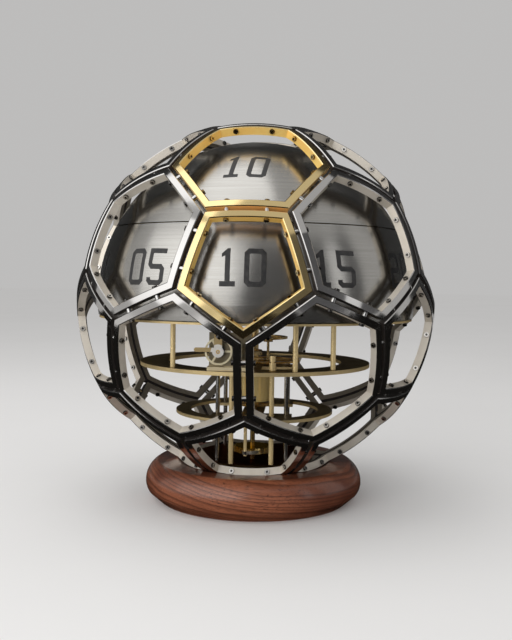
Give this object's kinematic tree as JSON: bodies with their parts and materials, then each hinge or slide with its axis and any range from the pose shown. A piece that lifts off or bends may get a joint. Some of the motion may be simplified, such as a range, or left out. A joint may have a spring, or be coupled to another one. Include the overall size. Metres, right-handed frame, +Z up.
{
  "type": "spherical table clock",
  "caption": "Table clock in an openwork ball of ring panels on a dished wooden base, with a turning hour dome and minute band over a small spring movement.",
  "frame": {"origin": "bottom centre of the wooden base", "axes": "+Z up, the dials are read from -Y, +X to the reader's right"},
  "size_m": [0.22, 0.2192, 0.2277],
  "materials": {
    "nickel_panels": "mirror-polished outer faces, satin sides",
    "gold_panels": "polished gold plate",
    "screw_steel": "plated, satin",
    "walnut": "satin lacquer",
    "dial_metal": "brushed around the axis",
    "plate_brass": "satin",
    "post_brass": "polished",
    "gilt_brass": "gilt, polished",
    "wheel_brass": "polished",
    "movement_steel": "polished",
    "spring_steel": "tempered"
  },
  "bodies": {
    "case": {"balance_cock": "movement_steel", "balance_spring": "spring_steel", "bottom_plate": "plate_brass", "brass_posts": "post_brass", "dial_plate": "plate_brass", "escapement_block": "plate_brass", "frame_spacers": "screw_steel", "gold_hexagon": "gold_panels", "gold_pentagon": "gold_panels", "gold_screws": "gold_panels", "hexagon_01": "nickel_panels", "hexagon_02": "nickel_panels", "hexagon_04": "nickel_panels", "hexagon_05": "nickel_panels", "hexagon_06": "nickel_panels", "hexagon_07": "nickel_panels", "hexagon_08": "nickel_panels", "hexagon_09": "nickel_panels", "hexagon_10": "nickel_panels", "hexagon_11": "nickel_panels", "hexagon_12": "nickel_panels", "hexagon_13": "nickel_panels", "hexagon_14": "nickel_panels", "hexagon_15": "nickel_panels", "hexagon_16": "nickel_panels", "hexagon_17": "nickel_panels", "hexagon_18": "nickel_panels", "hexagon_19": "nickel_panels", "hexagon_20": "nickel_panels", "lower_plate": "plate_brass", "middle_plate": "plate_brass", "pentagon_01": "nickel_panels", "pentagon_02": "nickel_panels", "pentagon_03": "nickel_panels", "pentagon_05": "nickel_panels", "pentagon_06": "nickel_panels", "pentagon_07": "nickel_panels", "pentagon_08": "nickel_panels", "pentagon_09": "nickel_panels", "pentagon_10": "nickel_panels", "pentagon_11": "nickel_panels", "pentagon_12": "nickel_panels", "steel_pillars": "movement_steel", "steel_screws": "screw_steel", "wood_base": "walnut"},
    "minute_dial": {"minute_band": "dial_metal", "minute_spider": "plate_brass", "centre_tube": "wheel_brass"},
    "hour_dial": {"hour_cap": "dial_metal", "hour_arbor": "wheel_brass"},
    "minute_wheel": {"minute_wheel": "wheel_brass"},
    "mainspring_barrel": {"mainspring_barrel": "gilt_brass", "mainspring": "spring_steel"},
    "third_wheel": {"third_wheel": "wheel_brass"},
    "contrate_wheel": {"contrate_wheel": "wheel_brass"},
    "escape_wheel": {"escape_wheel": "wheel_brass"},
    "pallet_fork": {"pallet_fork": "movement_steel"},
    "balance_wheel": {"balance_wheel": "gilt_brass"},
    "barrel_arbor": {"barrel_arbor": "movement_steel"},
    "click": {"click": "movement_steel"}
  },
  "joints": [
    {"name": "minute_turn", "type": "hinge", "parent": "case", "child": "minute_dial", "pos_m": [0, 0, 0], "axis": [0, 0, 1], "continuous": true},
    {"name": "hour_turn", "type": "hinge", "parent": "case", "child": "hour_dial", "pos_m": [0, 0, 0], "axis": [0, 0, 1], "continuous": true},
    {"name": "minute_wheel_turn", "type": "hinge", "parent": "case", "child": "minute_wheel", "pos_m": [0, 0.012, 0], "axis": [0, 0, 1], "continuous": true},
    {"name": "barrel_turn", "type": "hinge", "parent": "case", "child": "mainspring_barrel", "pos_m": [0, -0.015, 0], "axis": [0, 0, 1], "continuous": true},
    {"name": "third_wheel_turn", "type": "hinge", "parent": "case", "child": "third_wheel", "pos_m": [0.00903, -0.02061, 0], "axis": [0, 0, 1], "continuous": true},
    {"name": "contrate_wheel_turn", "type": "hinge", "parent": "case", "child": "contrate_wheel", "pos_m": [-0.0066, -0.035, 0], "axis": [0, 0, 1], "continuous": true},
    {"name": "escape_wheel_turn", "type": "hinge", "parent": "case", "child": "escape_wheel", "pos_m": [-0.0066, 0, 0.0966], "axis": [0, 1, 0], "continuous": true},
    {"name": "pallet_swing", "type": "hinge", "parent": "case", "child": "pallet_fork", "pos_m": [-0.0111, 0, 0.0966], "axis": [0, 1, 0], "range_deg": [-5, 5]},
    {"name": "balance_swing", "type": "hinge", "parent": "case", "child": "balance_wheel", "pos_m": [-0.017, 0, 0.0966], "axis": [0, 1, 0], "range_deg": [-270, 270], "stiffness_Nm_per_rad": 0.000005},
    {"name": "winding", "type": "hinge", "parent": "case", "child": "barrel_arbor", "pos_m": [0, -0.015, 0], "axis": [0, 0, 1], "continuous": true},
    {"name": "click_lift", "type": "hinge", "parent": "case", "child": "click", "pos_m": [-0.0035, -0.029, 0], "axis": [0, 0, 1], "range_deg": [-12, 0], "stiffness_Nm_per_rad": 0.0001, "springref_deg": 5.73}
  ],
  "couplings": [
    {"joint": "hour_turn", "follows": "minute_turn", "ratio": 0.083333},
    {"joint": "minute_wheel_turn", "follows": "minute_turn", "ratio": -0.33333},
    {"joint": "barrel_turn", "follows": "minute_turn", "ratio": -0.25},
    {"joint": "third_wheel_turn", "follows": "minute_turn", "ratio": -8},
    {"joint": "contrate_wheel_turn", "follows": "minute_turn", "ratio": 60},
    {"joint": "escape_wheel_turn", "follows": "minute_turn", "ratio": -600}
  ]
}
